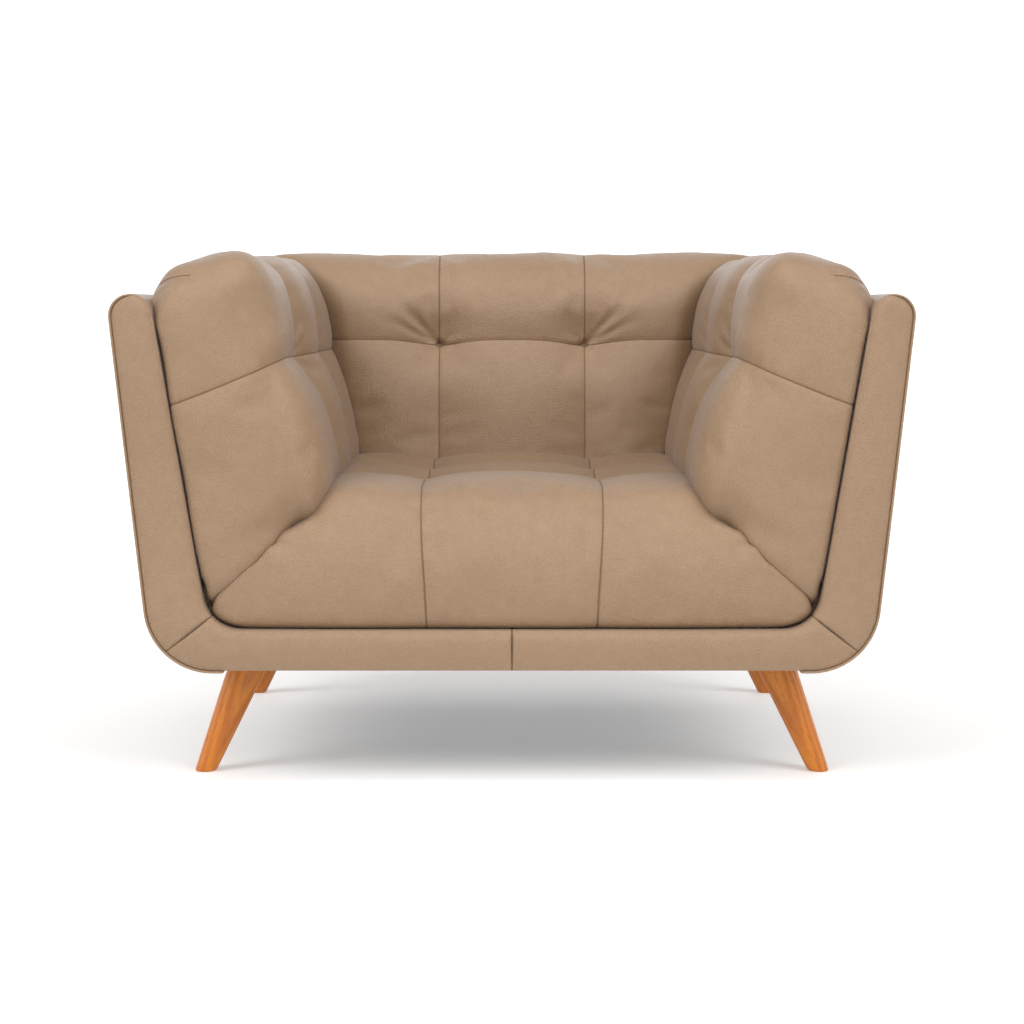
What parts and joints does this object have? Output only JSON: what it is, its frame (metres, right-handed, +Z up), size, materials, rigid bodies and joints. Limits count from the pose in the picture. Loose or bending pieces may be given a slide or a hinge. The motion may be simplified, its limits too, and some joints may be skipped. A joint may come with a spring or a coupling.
{
  "type": "upholstered armchair",
  "caption": "Low lounge armchair with a tufted leather seat, arm pads and back in a U-shaped shell, on splayed wooden legs.",
  "frame": {"origin": "on the floor, under the middle of the chair's overall width and depth", "axes": "+X towards the sitter's left, +Y from the front to the back, +Z up"},
  "size_m": [1.0996, 0.8899, 0.752],
  "materials": {
    "tan_leather": "satin",
    "oiled_oak": "satin",
    "frame_hardwood": "matte",
    "frame_board": "matte",
    "foam": "matte",
    "felt": "matte",
    "dust_cloth": "matte",
    "twine": "matte",
    "spring_steel": "satin",
    "zinc_steel": "satin",
    "glide_plastic": "matte"
  },
  "bodies": {
    "root": {"arm_upright_front_left": "frame_hardwood", "arm_upright_front_right": "frame_hardwood", "arm_upright_rear_left": "frame_hardwood", "arm_upright_rear_right": "frame_hardwood", "base_plate_front": "frame_hardwood", "base_plate_rear": "frame_hardwood", "seat_rail_front": "frame_hardwood", "seat_rail_rear": "frame_hardwood", "seat_rail_left": "frame_hardwood", "seat_rail_right": "frame_hardwood", "leg_blocks": "frame_hardwood", "corner_blocks": "frame_hardwood", "arm_top_rail_left": "frame_hardwood", "arm_top_rail_right": "frame_hardwood", "arm_inner_board_left": "frame_board", "arm_inner_board_right": "frame_board", "arm_outer_board_left": "frame_board", "arm_outer_board_right": "frame_board", "back_post_left": "frame_hardwood", "back_post_centre": "frame_hardwood", "back_post_right": "frame_hardwood", "back_top_rail": "frame_hardwood", "back_lower_rail": "frame_hardwood", "back_outer_board": "frame_board", "seat_springs": "spring_steel", "seat_spring_clips": "zinc_steel", "spring_tie_wires": "spring_steel", "back_springs": "spring_steel", "back_spring_clips": "zinc_steel", "spring_felt": "felt", "seat_foam": "foam", "back_foam": "foam", "arm_foam_left": "foam", "arm_foam_right": "foam", "seat_cover": "tan_leather", "back_cover": "tan_leather", "arm_cover_left": "tan_leather", "arm_cover_right": "tan_leather", "tuft_ties": "twine", "tuft_buttons": "tan_leather", "shell_cover_left": "tan_leather", "shell_cover_right": "tan_leather", "shell_cover_back": "tan_leather", "arm_facing_left": "tan_leather", "arm_facing_right": "tan_leather", "base_facing_left": "tan_leather", "base_facing_right": "tan_leather", "dust_cover": "dust_cloth", "leg_plates": "zinc_steel", "leg_plate_screws": "zinc_steel", "hanger_bolts": "zinc_steel", "leg_front_left": "oiled_oak", "leg_front_right": "oiled_oak", "leg_rear_left": "oiled_oak", "leg_rear_right": "oiled_oak", "leg_glides": "glide_plastic"}
  },
  "joints": []
}
